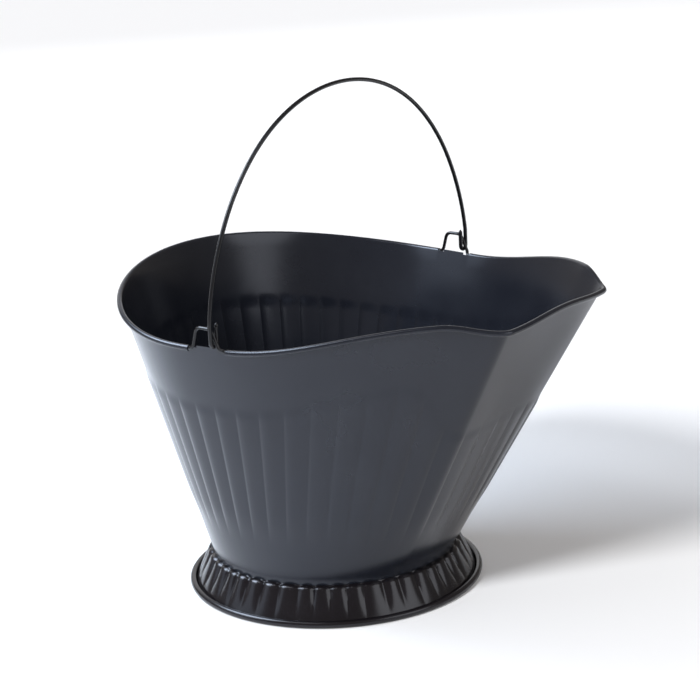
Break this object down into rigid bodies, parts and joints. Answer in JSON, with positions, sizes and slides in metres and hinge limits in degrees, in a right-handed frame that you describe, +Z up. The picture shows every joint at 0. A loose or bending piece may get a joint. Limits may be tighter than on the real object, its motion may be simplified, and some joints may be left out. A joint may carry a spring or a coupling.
{
  "type": "coal hod",
  "caption": "Fluted black sheet-steel coal hod with a broad pouring lip, a crimped flared foot and a swinging wire bail handle; carries coal, kindling or ash at a stove.",
  "frame": {"origin": "centre of the round foot, on the floor that it stands on", "axes": "+Z up, +X from the middle towards the pouring lip, +Y across towards the far ear"},
  "size_m": [0.4155, 0.366, 0.4477],
  "materials": {
    "body_paint": "satin black paint on fluted sheet steel",
    "foot_paint": "glossy black paint, thick in the crimps",
    "wire_paint": "semi-gloss black paint on steel wire"
  },
  "bodies": {
    "hod": {"body_sheet": "body_paint", "bottom_pan": "body_paint", "foot_ring": "foot_paint", "foot_wire": "foot_paint", "rim_wire": "wire_paint"},
    "bail": {"bail_handle": "wire_paint"}
  },
  "joints": [
    {"name": "bail_swing", "type": "hinge", "parent": "hod", "child": "bail", "pos_m": [0.0285, 0, 0.26188], "axis": [0, 1, 0], "range_deg": [-80, 80]}
  ]
}
